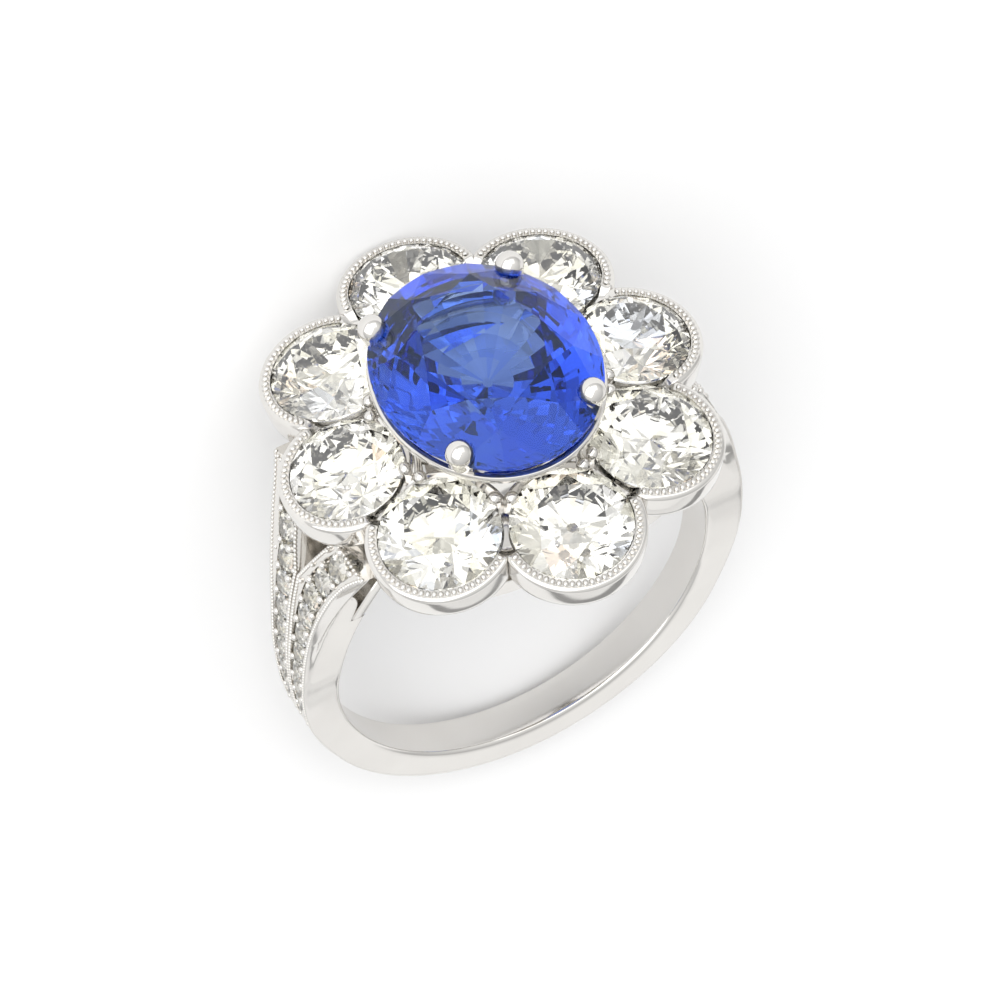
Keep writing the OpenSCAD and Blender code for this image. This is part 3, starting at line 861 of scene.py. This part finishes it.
@dataclass
class Petals:
    """Eight round settings of the halo, each with a plain polished wall and a beaded rim."""

    height: float = 12.55
    oval_x: float = 6.47
    oval_y: float = 6.99
    diagonal: float = 42.7
    lean: float = 10.4
    large: float = 5.0
    small: float = 4.7
    seat_gap: float = 0.03
    rim: float = 0.52
    wall: float = 1.35
    foot_radius: float = 1.85
    foot_depth: float = 2.45
    bead_step: float = 0.26
    bead_inset: float = 0.325
    bead_drop: float = 0.035
    # Half lengths of a bead across the rim, along it and up.
    bead_size: tuple[float, float, float] = (0.16, 0.118, 0.13)
    neighbour_gap: float = 0.004
    # A rim sinks by this much where it meets a neighbour and on the sapphire's side.
    inner_drop: float = 0.33
    rim_depth: float = 0.44
    # Start and end of the sinking, by the width that a neighbour cuts off and by the turn inwards.
    sink_cut: tuple[float, float] = (0.02, 0.3)
    sink_facing: tuple[float, float] = (0.25, 0.5)
    prong_angle: float = 142.0
    prong_radius: float = 0.29

    def compass(self) -> np.ndarray:
        """Angle of each petal on its oval, in degrees."""
        d = self.diagonal
        return np.array([0, d, 90, 180 - d, 180, 180 + d, 270, 360 - d])

    def radius(self, index: int) -> float:
        """Radius of a petal's stone."""
        return (self.small if index % 4 == 0 else self.large) / 2

    def centre(self, index: int) -> np.ndarray:
        """Middle of a petal's rim."""
        a = math.radians(self.compass()[index % 8])
        return np.array([self.oval_x * math.cos(a), self.oval_y * math.sin(a), self.height])

    def turn(self, index: int) -> np.ndarray:
        """Matrix whose columns are a petal's own axes: outward, sideways and along the stone's axis."""
        a = math.radians(self.compass()[index])
        facing = math.atan2(math.sin(a) / self.oval_y, math.cos(a) / self.oval_x)
        return turn_about("Z", facing) @ turn_about("Y", math.radians(self.lean))

    def reach(self, index: int, angle: np.ndarray, z: np.ndarray) -> np.ndarray:
        """How far a petal may reach before it meets its two neighbours.

        Args:
            index: The petal.
            angle: Angles about its axis.
            z: Heights along its axis.

        Returns:
            The largest radius for each angle and height.
        """
        limit = np.full(np.broadcast(angle, z).shape, 99.0)
        for other in ((index + 1) % 8, (index - 1) % 8):
            span = self.centre(other) - self.centre(index)
            far = np.linalg.norm(span)
            half = self.radius(index) + (far - self.radius(index) - self.radius(other)) / 2
            side = self.turn(index).T @ (span / far)
            toward = side[0] * np.cos(angle) + side[1] * np.sin(angle)
            bound = np.where(toward > 0.05, (half - side[2] * z) / np.maximum(toward, 0.05), 99.0)
            limit = np.minimum(limit, bound)
        return limit

    def profile(self, index: int) -> np.ndarray:
        """Section of a setting: foot, flare, wall, rounded shoulder, bead band, bright edge and seat.

        Returns:
            Radius and height of each point, as a closed outline.
        """
        stone = self.radius(index)
        r = stone + self.seat_gap + self.rim
        return np.array(
            [[self.foot_radius, -self.foot_depth], [r - 0.12, -self.wall - 0.08], [r - 0.06, -self.wall],
             [r - 0.035, -self.wall + 0.2], [r - 0.005, -0.78], [r, -0.3]]
            + arc((r - 0.19, -0.24), 0.19, 0, 84, 8)
            + [[r - 0.22, -0.06], [r - 0.3, -0.07], [r - 0.44, -0.07], [stone + self.seat_gap + 0.01, -0.06],
               [stone + self.seat_gap, -0.09], [stone + self.seat_gap, -0.45], [stone - 0.2, -0.45],
               [0.62 * stone + 0.15, -self.foot_depth + 0.05], [0.62 * stone + 0.2, -self.foot_depth]])

    def setting(self, index: int) -> Skin:
        """Turn the section about the petal's axis, cut back where it meets its neighbours.

        Returns:
            One closed skin.
        """
        profile = self.profile(index)
        angle = np.radians(np.arange(0, 360, 2.5))[:, None]
        across, up = profile[None, :, 0], profile[None, :, 1]
        radius = np.minimum(across, self.reach(index, angle, up) - self.neighbour_gap)
        cut = across.max() - self.reach(index, angle, np.zeros((1, 1)))
        low = np.maximum(smoothstep(*self.sink_cut, cut), smoothstep(*self.sink_facing, -np.cos(angle)))
        height = np.where(up > -self.rim_depth, up - self.inner_drop * low, up)
        local = np.stack([radius * np.cos(angle), radius * np.sin(angle), height], axis=-1)
        skin = Skin()
        skin.sweep(local @ self.turn(index).T + self.centre(index))
        return skin

    def beads(self, index: int) -> Skin:
        """Row of beads on the inner part of a rim, each a little longer across the rim than along it.

        Returns:
            The beads of one rim.
        """
        r = self.radius(index) + self.seat_gap + self.rim
        middle = r - self.bead_inset
        count = int(2 * math.pi * middle / self.bead_step)
        angle = np.arange(count) * 2 * math.pi / count
        open_rim = self.reach(index, angle, np.zeros(count)) > r - 0.06
        outward = np.cos(angle) > -0.3
        angle = angle[open_rim & outward]
        out = np.stack([np.cos(angle), np.sin(angle), np.zeros_like(angle)], axis=1)
        along = np.stack([-np.sin(angle), np.cos(angle), np.zeros_like(angle)], axis=1)
        up = np.tile([0, 0, 1.0], (len(angle), 1))
        frames = np.stack([out, along, up], axis=2) * np.array(self.bead_size)
        turn = self.turn(index)
        shape, quads = ball(8, 5)
        skin = Skin()
        places = out * middle + np.array([0, 0, -self.bead_drop])
        places = places @ turn.T + self.centre(index)
        skin.repeat(shape, quads, np.einsum("ij,njk->nik", turn, frames), places)
        return skin

    def prongs(self) -> Skin:
        """Two round-topped prongs on the inner side of each setting, by the gaps to its neighbours.

        Returns:
            All the prongs.
        """
        skin = Skin()
        turn = np.radians(np.arange(0, 360, 22.5))
        ring = np.stack([np.cos(turn), np.sin(turn), np.zeros_like(turn)], axis=1)
        b = self.prong_radius
        profile = np.array([[0.02, -1.7], [b - 0.06, -1.68], [b - 0.06, -0.35], [b - 0.03, -0.12]]
                           + arc((0, 0.06), b, -20, 86, 9))
        for index in range(8):
            for way in (1, -1):
                a = math.radians(self.prong_angle) * way
                foot = (self.radius(index) + 0.1) * np.array([math.cos(a), math.sin(a), 0])
                rise = profile[:, 1][:, None, None] * np.array([0, 0, 1.0])
                grid = foot + profile[:, 0][:, None, None] * ring + rise
                skin.sweep(grid @ self.turn(index).T + self.centre(index), ring_rows=False)
        return skin


@dataclass
class Centre:
    """Sapphire's support: four claws, oval rail, basket and open collet, and the ring under the petals."""

    width: float = 9.08
    length: float = 10.84
    height: float = 14.89
    claw_radius: float = 0.59
    shaft_radius: float = 0.54
    claw_facing: float = 40.0
    # Place of a claw on the sapphire's half width and half length, and how far its foot stands in from it.
    claw_place: tuple[float, float] = (0.665, 0.655)
    claw_splay: float = 0.9
    claw_reach: float = 0.12
    claw_foot: float = 2.5
    claw_rise: float = 0.5
    claw_gap: float = 0.012
    # Each claw's quarter, and how far its tip was bent across the shoulders and along the finger.
    claws: tuple = (((1, 1), (-0.08, 0.04)), ((-1, 1), (-0.05, 0.0)), ((-1, -1), (0.06, -0.02)),
                    ((1, -1), (-0.24, 0.02)))
    collet_foot: float = 8.85
    collet_radius: float = 2.75
    collet_wall: float = 0.45
    clear_radius: float = 8.8
    # Ring under the petals: how deep its lower and upper faces lie below their rims, how far it stands
    # out from their oval across the shoulders and along the finger, and its power as a cushion.
    ring_depths: tuple[float, float] = (2.85, 2.1)
    ring_offset: tuple[float, float] = (0.4, -0.55)
    ring_power: float = 0.64

    def claw(self, way: tuple[int, int], bent: tuple[float, float], planes: np.ndarray) -> Skin:
        """Round shaft that swells to a rounded tip, pressed against the stone.

        Args:
            way: Signs of the quarter that the claw stands in.
            bent: How far its tip stands from its regular place, across the shoulders and along the finger.
            planes: The sapphire's facets as unit normals and distances.

        Returns:
            One closed skin.
        """
        facing = math.radians(self.claw_facing)
        x = self.claw_place[0] * self.width / 2
        y = self.claw_place[1] * self.length / 2
        foot = np.array([way[0] * (x - self.claw_splay * math.cos(facing)),
                         way[1] * (y - self.claw_splay * math.sin(facing)), self.height - self.claw_foot])
        tip = np.array([way[0] * (x + self.claw_reach) + bent[0], way[1] * (y + self.claw_reach) + bent[1],
                        self.height + self.claw_rise])
        rise = tip - foot
        long = np.linalg.norm(rise)
        axis = rise / long
        side = np.cross([0, 0, 1.0], axis)
        side /= np.linalg.norm(side)
        s, c = self.shaft_radius, self.claw_radius
        profile = np.array([[0.02, 0], [s, 0.02], [s, 0.6], [s, long - 1.1], [s + 0.01, long - 0.8],
                            [s + 0.035, long - 0.5]]
                           + arc((0, long), c, -18, 86, 12))
        angle = np.radians(np.arange(0, 360, 10))
        ring = np.cos(angle)[:, None] * side + np.sin(angle)[:, None] * np.cross(axis, side)
        grid = foot + profile[:, 1][:, None, None] * axis + profile[:, 0][:, None, None] * ring
        # Points that would lie inside the stone are pushed out through its nearest facet.
        depth = np.einsum("rcx,px->rcp", grid, planes[:, :3]) - planes[:, 3]
        nearest = depth.argmax(-1)
        inside = np.minimum(depth.max(-1) - self.claw_gap, 0)
        grid = grid - inside[..., None] * planes[nearest, :3]
        skin = Skin()
        skin.sweep(grid, ring_rows=False)
        return skin

    def hoop(self, half_x: float, half_y: float, power: float, flat: list[list[float]]) -> Skin:
        """Carry a section round an oval or a rounded cushion.

        Args:
            half_x: Half length across the shoulders.
            half_y: Half length along the finger.
            power: 1 for an oval, less for a cushion with straighter sides.
            flat: Section points as distance outward and height.

        Returns:
            One closed skin.
        """
        angle = np.radians(np.arange(0, 360, 2))
        c, s = np.cos(angle), np.sin(angle)
        path = np.stack([half_x * np.sign(c) * np.abs(c) ** power,
                         half_y * np.sign(s) * np.abs(s) ** power], axis=1)
        step = np.roll(path, -1, 0) - np.roll(path, 1, 0)
        out = np.stack([step[:, 1], -step[:, 0]], axis=1) / np.linalg.norm(step, axis=1, keepdims=True)
        section = np.array(flat)
        xy = path[:, None, :] + out[:, None, :] * section[None, :, :1]
        grid = np.concatenate([xy, np.repeat(section[None, :, 1:], len(angle), 0)], axis=-1)
        skin = Skin()
        skin.sweep(grid)
        return skin

    def oval_rail(self) -> Skin:
        """Polished oval rail just under the sapphire's edge."""
        low, high = self.height - 0.78, self.height - 0.42
        flat = [[0.04, low], [0.08, low + 0.05], [0.08, high - 0.07], [0.05, high - 0.02], [0.0, high],
                [-0.13, high], [-0.18, high - 0.04], [-0.2, low + 0.04], [-0.16, low]]
        return self.hoop(self.width / 2, self.length / 2, 1.0, flat)

    def basket(self) -> Skin:
        """Thin oval wall from the collet up to the rail, close round the lower part of the sapphire.

        Returns:
            One closed skin.
        """
        # Half lengths across the shoulders and along the finger, and height.
        rows = np.array([[3.6, 4.03, 12.74], [3.72, 4.15, 12.74], [4.26, 5.05, 14.1], [4.28, 5.08, 14.13],
                         [4.18, 4.98, 14.13], [4.16, 4.95, 14.1]])
        angle = np.radians(np.arange(0, 360, 3))
        skin = Skin()
        skin.sweep(np.stack([np.cos(angle)[:, None] * rows[:, 0], np.sin(angle)[:, None] * rows[:, 1],
                             np.repeat(rows[None, :, 2], len(angle), 0)], axis=-1))
        return skin

    def petal_ring(self, petals: Petals) -> Skin:
        """Cushion-shaped ring that the petals' feet are soldered to."""
        low, high = petals.height - self.ring_depths[0], petals.height - self.ring_depths[1]
        flat = [[0.5, low], [0.53, low + 0.04], [0.53, high - 0.04], [0.5, high], [0.05, high],
                [0.0, high - 0.05], [0.0, low + 0.05], [0.05, low]]
        return self.hoop(petals.oval_x + self.ring_offset[0], petals.oval_y + self.ring_offset[1],
                         self.ring_power, flat)

    def collet(self) -> Skin:
        """Open round collet from the inner rail up to the sapphire, its foot kept off the finger."""
        r, w, z = self.collet_radius, self.collet_wall, self.collet_foot
        profile = np.array([[r - 0.04, z - 0.9], [r, z - 0.86], [r, z], [3.9, z + 3.78], [3.86, z + 3.84],
                            [3.58, z + 3.84], [3.52, z + 3.78], [r - w, z], [r - w, z - 0.86],
                            [r - w + 0.04, z - 0.9]])
        angle = np.radians(np.arange(0, 360, 4))
        x = np.cos(angle)[:, None] * profile[:, 0]
        y = np.sin(angle)[:, None] * profile[:, 0]
        clear = np.sqrt(self.clear_radius**2 - x**2)
        skin = Skin()
        skin.sweep(np.stack([x, y, np.maximum(profile[None, :, 1], clear)], axis=-1))
        return skin


@dataclass(frozen=True)
class Card:
    """Round card laid flat, under the ring or as the table top; its middle and radius are in metres."""

    name: str
    middle: tuple[float, float, float]
    radius: float
    paper: MattCard

    def lay(self) -> None:
        """Make the card and mark it as a part of the stage."""
        angle = np.radians(np.arange(0, 360, 5) + 2.5)
        circle = np.stack([np.cos(angle), np.sin(angle), np.zeros_like(angle)], axis=1)
        rim = np.array(self.middle) + self.radius * circle
        mesh = bpy.data.meshes.new(self.name)
        mesh.from_pydata(rim.tolist(), [], [list(range(len(rim)))])
        mesh.materials.append(self.paper.build())
        thing = bpy.data.objects.new(self.name, mesh)
        bpy.context.scene.collection.objects.link(thing)
        thing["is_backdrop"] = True


@dataclass(frozen=True)
class SoftBox:
    """Rectangular soft box aimed at the ring.

    It hangs some degrees round from the camera's side and some above the table. Its distance and its
    size are in metres.
    """

    name: str
    round_from_camera: float
    elevation: float
    distance: float
    size: tuple[float, float]
    watts: float

    def hang(self, front: float) -> None:
        """Hang the lamp.

        Args:
            front: Compass angle of the camera's side from +X, in degrees.
        """
        turn, rise = math.radians(front + self.round_from_camera), math.radians(self.elevation)
        data = bpy.data.lights.new(self.name, "AREA")
        data.shape = "RECTANGLE"
        data.size, data.size_y = self.size
        data.energy = self.watts
        back = np.array([math.cos(turn) * math.cos(rise), math.sin(turn) * math.cos(rise), math.sin(rise)])
        right = np.cross([0, 0, 1.0], back)
        right /= np.linalg.norm(right)
        matrix = np.eye(4)
        matrix[:3] = np.stack([right, np.cross(back, right), back, back * self.distance], axis=1)
        thing = bpy.data.objects.new(self.name, data)
        thing.matrix_world = Matrix(matrix.tolist())
        bpy.context.scene.collection.objects.link(thing)


@dataclass
class Studio:
    """White card, soft boxes and the camera at the photograph's angle to the ring."""

    azimuth: float = 22.487
    elevation: float = 52.615
    roll: float = -6.6
    pixels_per_mm: float = 24.387
    aim: tuple[float, float] = (-0.474, 3.674)
    distance: float = 400.0
    frame_pixels: float = 1000.0
    horizon: float = 0.62
    overhead: float = 0.96
    overhead_from: float = 0.75
    front_gain: float = 0.4
    # Light low behind the ring, how far behind it starts and is full, and the heights of none and all.
    back_wall: float = 0.68
    back_span: tuple[float, float] = (-0.2, -0.8)
    back_heights: tuple[float, float] = (0.5, 0.22)
    # Half angle of the dark spot round the lens, the width of its soft edge, and the light left in it.
    lens_shade: float = 8.5
    lens_edge: float = 4
    lens_level: float = 0.55
    cards: tuple[Card, ...] = (
        Card("floor", (0.02, -0.115, 0.0), 0.16, MattCard("white card", "F8F8F8")),
        # Painted shade: a grey card showing round the back of the white card, a dark sheet that the metal
        # mirrors in place of the shaded floor.
        Card("mat", (0.0, 0.0, -0.0005), 0.086, MattCard("painted shade card", "909090")),
        Card("table", (0.0, 0.0, -0.001), 1.5, MattCard("pale table", "F0F0F0")))
    lamps: tuple[SoftBox, ...] = (
        SoftBox("key soft box", 24.0, 42.0, 0.75, (1.1, 0.95), 3.2),
        SoftBox("fill soft box", -42.0, 38.0, 0.75, (0.6, 0.5), 0.5))

    def back(self) -> np.ndarray:
        """Direction from the upright ring to the camera."""
        a, e = math.radians(self.azimuth), math.radians(self.elevation)
        return np.array([-math.sin(a) * math.cos(e), -math.cos(a) * math.cos(e), math.sin(e)])

    def camera(self, pose: RestPose) -> None:
        """Place the camera as it stood to the upright ring, laid down with it."""
        a, r = math.radians(self.azimuth), math.radians(self.roll)
        back = self.back()
        level = np.array([math.cos(a), -math.sin(a), 0])
        rise = np.cross(back, level)
        right = math.cos(r) * level + math.sin(r) * rise
        up = -math.sin(r) * level + math.cos(r) * rise
        eye = pose.lay(back * self.distance + right * self.aim[0] + up * self.aim[1])
        data = bpy.data.cameras.new("camera")
        data.sensor_width = 36.0
        data.sensor_fit = "HORIZONTAL"
        half = self.frame_pixels / self.pixels_per_mm / 2
        data.lens = data.sensor_width / 2 * self.distance / half
        data.clip_start = 0.01
        thing = bpy.data.objects.new("camera", data)
        axes = pose.turn @ np.stack([right, up, back], axis=1)
        matrix = np.eye(4)
        matrix[:3, :3] = axes
        matrix[:3, 3] = eye
        thing.matrix_world = Matrix(matrix.tolist())
        bpy.context.scene.collection.objects.link(thing)
        bpy.context.scene.camera = thing

    def sky(self, lens: np.ndarray) -> None:
        """Fill the room with soft light, bright overhead and low at the back and dim round the lens.

        Args:
            lens: Direction from the ring to the camera.
        """
        world = bpy.data.worlds.new("studio")
        world.use_nodes = True
        tree = world.node_tree
        tree.nodes.clear()
        way = add_node(tree, "ShaderNodeTexCoord").outputs["Generated"]
        height = add_node(tree, "ShaderNodeSeparateXYZ", {"Vector": way}).outputs["Z"]
        over = add_node(tree, "ShaderNodeMapRange", {
            "Value": height, "From Min": 0.0, "From Max": self.overhead_from, "To Min": self.horizon,
            "To Max": self.overhead}, interpolation_type="SMOOTHSTEP")
        front = lens * np.array([1, 1, 0])
        front = front / np.linalg.norm(front)
        ahead = add_node(tree, "ShaderNodeVectorMath", {0: way, 1: tuple(front)}, operation="DOT_PRODUCT")
        tilt = add_node(tree, "ShaderNodeMath", {0: ahead.outputs["Value"], 1: self.front_gain, 2: 1.0},
                        operation="MULTIPLY_ADD")
        tilted = add_node(tree, "ShaderNodeMath", {0: over.outputs["Result"], 1: tilt.outputs["Value"]},
                          operation="MULTIPLY")
        wide = add_node(tree, "ShaderNodeMapRange", {
            "Value": ahead.outputs["Value"], "From Min": self.back_span[0], "From Max": self.back_span[1],
            "To Min": 0.0, "To Max": self.back_wall}, interpolation_type="SMOOTHSTEP")
        low = add_node(tree, "ShaderNodeMapRange", {
            "Value": height, "From Min": self.back_heights[0], "From Max": self.back_heights[1],
            "To Min": 0.0, "To Max": 1.0}, interpolation_type="SMOOTHSTEP")
        glow = add_node(tree, "ShaderNodeMath", {0: wide.outputs["Result"], 1: low.outputs["Result"]},
                        operation="MULTIPLY")
        total = add_node(tree, "ShaderNodeMath", {0: tilted.outputs["Value"], 1: glow.outputs["Value"]},
                         operation="ADD")
        seen = add_node(tree, "ShaderNodeVectorMath", {0: way, 1: tuple(lens)}, operation="DOT_PRODUCT")
        shade = add_node(tree, "ShaderNodeMapRange", {
            "Value": seen.outputs["Value"],
            "From Min": math.cos(math.radians(self.lens_shade + self.lens_edge)),
            "From Max": math.cos(math.radians(self.lens_shade)), "To Min": 1.0, "To Max": self.lens_level},
            interpolation_type="SMOOTHSTEP")
        level = add_node(tree, "ShaderNodeMath", {0: total.outputs["Value"], 1: shade.outputs["Result"]},
                         operation="MULTIPLY")
        light = add_node(tree, "ShaderNodeBackground", {"Color": (1.0, 1.0, 1.0, 1.0),
                                                        "Strength": level.outputs["Value"]})
        add_node(tree, "ShaderNodeOutputWorld", {"Surface": light.outputs["Background"]})
        bpy.context.scene.world = world

    def light(self, pose: RestPose) -> None:
        """Set the sky, the soft boxes and plain colour handling."""
        lens = pose.turn @ self.back()
        self.sky(lens)
        for lamp in self.lamps:
            lamp.hang(math.degrees(math.atan2(lens[1], lens[0])))
        scene = bpy.context.scene
        scene.view_settings.view_transform = "Standard"
        # Light is thrown about inside the stones many times before it comes out.
        scene.cycles.max_bounces = 24
        scene.cycles.transmission_bounces = 20
        scene.cycles.glossy_bounces = 8


def facet_planes(thing: bpy.types.Object, pose: RestPose) -> np.ndarray:
    """Read a convex stone's facets as planes, upright in millimetres.

    Args:
        thing: The stone's object.
        pose: How the ring is laid.

    Returns:
        Outward unit normal and distance for each facet.
    """
    corners = np.empty(len(thing.data.vertices) * 3)
    thing.data.vertices.foreach_get("co", corners)
    corners = pose.upright(corners.reshape(-1, 3))
    normals = np.array([p.normal for p in thing.data.polygons]) @ pose.turn
    first = corners[[p.vertices[0] for p in thing.data.polygons]]
    rows = np.column_stack([normals, np.einsum("ij,ij->i", normals, first)])
    return np.unique(rows.round(3), axis=0)


def dress_stones(frame: dict, finishes: dict[Slot, bpy.types.Material]) -> None:
    """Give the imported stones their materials."""
    for name, thing in frame["nodes"].items():
        if name == MOUNT_NODE:
            continue
        slot = Slot.SAPPHIRE if name == "sapphire" else Slot.DIAMOND
        thing.data.materials.clear()
        thing.data.materials.append(finishes[slot])
        LOG.info("%s dressed as %s", name, slot.value)


def main() -> list[list[float]]:
    """Build every part of the ring and the studio.

    Returns:
        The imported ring's lowest and highest corners.
    """
    logging.basicConfig(level=logging.INFO, format="%(name)s: %(message)s")
    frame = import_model()
    packed = [list(corner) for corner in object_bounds()]
    pose = RestPose.from_record(frame["record"])
    studio = Studio()
    studio.camera(pose)
    finishes = {Slot.PLATINUM: PolishedPlatinum().build(), Slot.DIAMOND: CutDiamond().build(),
                Slot.SAPPHIRE: CutSapphire().build()}
    shop = Workshop(pose, finishes)
    dress_stones(frame, finishes)
    band = Band()
    shop.piece("shank_and_shoulders", band.skin(), Slot.PLATINUM)
    shop.piece("inner_rail", band.rail_skin(), Slot.PLATINUM)
    shop.piece("shoulder_beads", band.bead_rows(), Slot.PLATINUM, sharp=80)
    shop.piece("shoulder_grains", band.grains(), Slot.PLATINUM, sharp=80)
    petals = Petals()
    for index in range(8):
        shop.piece(f"petal_setting_{index + 1}", petals.setting(index), Slot.PLATINUM)
        shop.piece(f"petal_beads_{index + 1}", petals.beads(index), Slot.PLATINUM, sharp=80)
    shop.piece("petal_prongs", petals.prongs(), Slot.PLATINUM, sharp=60)
    centre = Centre()
    planes = facet_planes(frame["nodes"]["sapphire"], pose)
    for number, (way, bent) in enumerate(centre.claws, start=1):
        shop.piece(f"claw_{number}", centre.claw(way, bent, planes), Slot.PLATINUM, sharp=60)
    shop.piece("sapphire_rail", centre.oval_rail(), Slot.PLATINUM)
    shop.piece("basket", centre.basket(), Slot.PLATINUM)
    shop.piece("petal_ring", centre.petal_ring(petals), Slot.PLATINUM)
    shop.piece("collet", centre.collet(), Slot.PLATINUM)
    for card in studio.cards:
        card.lay()
    studio.light(pose)
    return packed


if __name__ == "__main__":
    packed_box = main()
